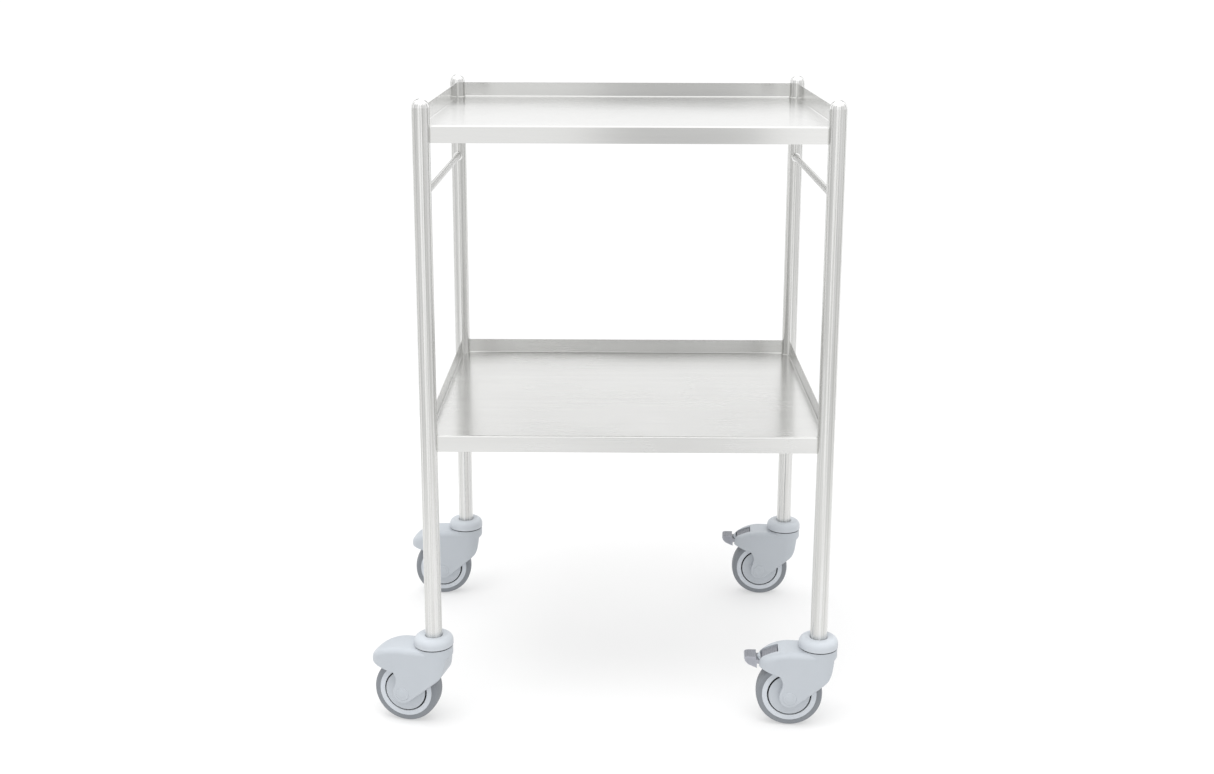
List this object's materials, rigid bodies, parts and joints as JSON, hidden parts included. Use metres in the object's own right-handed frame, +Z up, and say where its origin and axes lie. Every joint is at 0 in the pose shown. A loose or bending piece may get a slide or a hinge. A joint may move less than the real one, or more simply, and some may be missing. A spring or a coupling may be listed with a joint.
{
  "type": "instrument cart",
  "caption": "Open instrument cart: stainless tube posts with domed tops, turned-edge trays at two heights, side rails, and swivel casters, the right-hand ones with foot brakes.",
  "frame": {"origin": "on the floor, under the middle of the four posts", "axes": "+X to the cart's right, -Y to its open front, +Z up"},
  "size_m": [0.7034, 0.5572, 0.937],
  "materials": {
    "post_steel": "satin brushed stainless tube, brushed along its length",
    "polished_steel": "mirror polished stainless",
    "tray_steel": "fine brushed stainless sheet, brushed along its width",
    "rail_steel": "satin stainless bar",
    "zinc_steel": "bright zinc-plated steel",
    "housing_plastic": "light blue-grey moulded nylon",
    "trim_plastic": "light blue-grey moulded nylon",
    "wheel_plastic": "light grey moulded polypropylene",
    "tyre_rubber": "non-marking grey rubber",
    "pedal_plastic": "darker grey moulded nylon",
    "brake_rubber": "dense brake rubber"
  },
  "bodies": {
    "frame": {"post_front_left": "post_steel", "post_front_right": "post_steel", "post_rear_left": "post_steel", "post_rear_right": "post_steel", "post_caps": "polished_steel", "upper_tray": "tray_steel", "lower_tray": "tray_steel", "side_rail_left": "rail_steel", "side_rail_right": "rail_steel", "rail_ferrules": "polished_steel", "caster_stem_front_left": "zinc_steel", "caster_stem_front_right": "zinc_steel", "caster_stem_rear_left": "zinc_steel", "caster_stem_rear_right": "zinc_steel", "caster_collar_front_left": "housing_plastic", "caster_collar_front_right": "housing_plastic", "caster_collar_rear_left": "housing_plastic", "caster_collar_rear_right": "housing_plastic"},
    "swivel_front_left": {"caster_housing_front_left": "housing_plastic", "swivel_bearing_front_left": "zinc_steel", "axle_front_left": "zinc_steel", "axle_caps_front_left": "trim_plastic", "thread_guards_front_left": "trim_plastic"},
    "wheel_front_left": {"wheel_core_front_left": "wheel_plastic", "tyre_front_left": "tyre_rubber", "wheel_bearings_front_left": "zinc_steel"},
    "swivel_front_right": {"caster_housing_front_right": "housing_plastic", "swivel_bearing_front_right": "zinc_steel", "axle_front_right": "zinc_steel", "axle_caps_front_right": "trim_plastic", "thread_guards_front_right": "trim_plastic", "pedal_pin_front_right": "zinc_steel", "detent_spring_front_right": "zinc_steel"},
    "wheel_front_right": {"wheel_core_front_right": "wheel_plastic", "tyre_front_right": "tyre_rubber", "wheel_bearings_front_right": "zinc_steel"},
    "pedal_front_right": {"brake_pedal_front_right": "pedal_plastic", "brake_shoe_front_right": "brake_rubber"},
    "swivel_rear_left": {"caster_housing_rear_left": "housing_plastic", "swivel_bearing_rear_left": "zinc_steel", "axle_rear_left": "zinc_steel", "axle_caps_rear_left": "trim_plastic", "thread_guards_rear_left": "trim_plastic"},
    "wheel_rear_left": {"wheel_core_rear_left": "wheel_plastic", "tyre_rear_left": "tyre_rubber", "wheel_bearings_rear_left": "zinc_steel"},
    "swivel_rear_right": {"caster_housing_rear_right": "housing_plastic", "swivel_bearing_rear_right": "zinc_steel", "axle_rear_right": "zinc_steel", "axle_caps_rear_right": "trim_plastic", "thread_guards_rear_right": "trim_plastic", "pedal_pin_rear_right": "zinc_steel", "detent_spring_rear_right": "zinc_steel"},
    "wheel_rear_right": {"wheel_core_rear_right": "wheel_plastic", "tyre_rear_right": "tyre_rubber", "wheel_bearings_rear_right": "zinc_steel"},
    "pedal_rear_right": {"brake_pedal_rear_right": "pedal_plastic", "brake_shoe_rear_right": "brake_rubber"}
  },
  "joints": [
    {"name": "swivel_front_left", "type": "hinge", "parent": "frame", "child": "swivel_front_left", "pos_m": [-0.2885, -0.2475, 0.11], "axis": [0, 0, 1], "continuous": true},
    {"name": "wheel_spin_front_left", "type": "hinge", "parent": "swivel_front_left", "child": "wheel_front_left", "pos_m": [-0.3292, -0.23795, 0.05], "axis": [-0.2284, -0.9736, 0], "continuous": true},
    {"name": "swivel_front_right", "type": "hinge", "parent": "frame", "child": "swivel_front_right", "pos_m": [0.2885, -0.2475, 0.11], "axis": [0, 0, 1], "continuous": true},
    {"name": "wheel_spin_front_right", "type": "hinge", "parent": "swivel_front_right", "child": "wheel_front_right", "pos_m": [0.24677, -0.24509, 0.05], "axis": [-0.0576, -0.9983, 0], "continuous": true},
    {"name": "brake_pedal_front_right", "type": "hinge", "parent": "swivel_front_right", "child": "pedal_front_right", "pos_m": [0.20963, -0.24295, 0.1015], "axis": [-0.0576, -0.9983, 0], "range_deg": [0, 20]},
    {"name": "swivel_rear_left", "type": "hinge", "parent": "frame", "child": "swivel_rear_left", "pos_m": [-0.2885, 0.2475, 0.11], "axis": [0, 0, 1], "continuous": true},
    {"name": "wheel_spin_rear_left", "type": "hinge", "parent": "swivel_rear_left", "child": "wheel_rear_left", "pos_m": [-0.33022, 0.24495, 0.05], "axis": [0.061, -0.9981, 0], "continuous": true},
    {"name": "swivel_rear_right", "type": "hinge", "parent": "frame", "child": "swivel_rear_right", "pos_m": [0.2885, 0.2475, 0.11], "axis": [0, 0, 1], "continuous": true},
    {"name": "wheel_spin_rear_right", "type": "hinge", "parent": "swivel_rear_right", "child": "wheel_rear_right", "pos_m": [0.24682, 0.25063, 0.05], "axis": [-0.075, -0.9972, 0], "continuous": true},
    {"name": "brake_pedal_rear_right", "type": "hinge", "parent": "swivel_rear_right", "child": "pedal_rear_right", "pos_m": [0.20972, 0.25342, 0.1015], "axis": [-0.075, -0.9972, 0], "range_deg": [0, 20]}
  ]
}
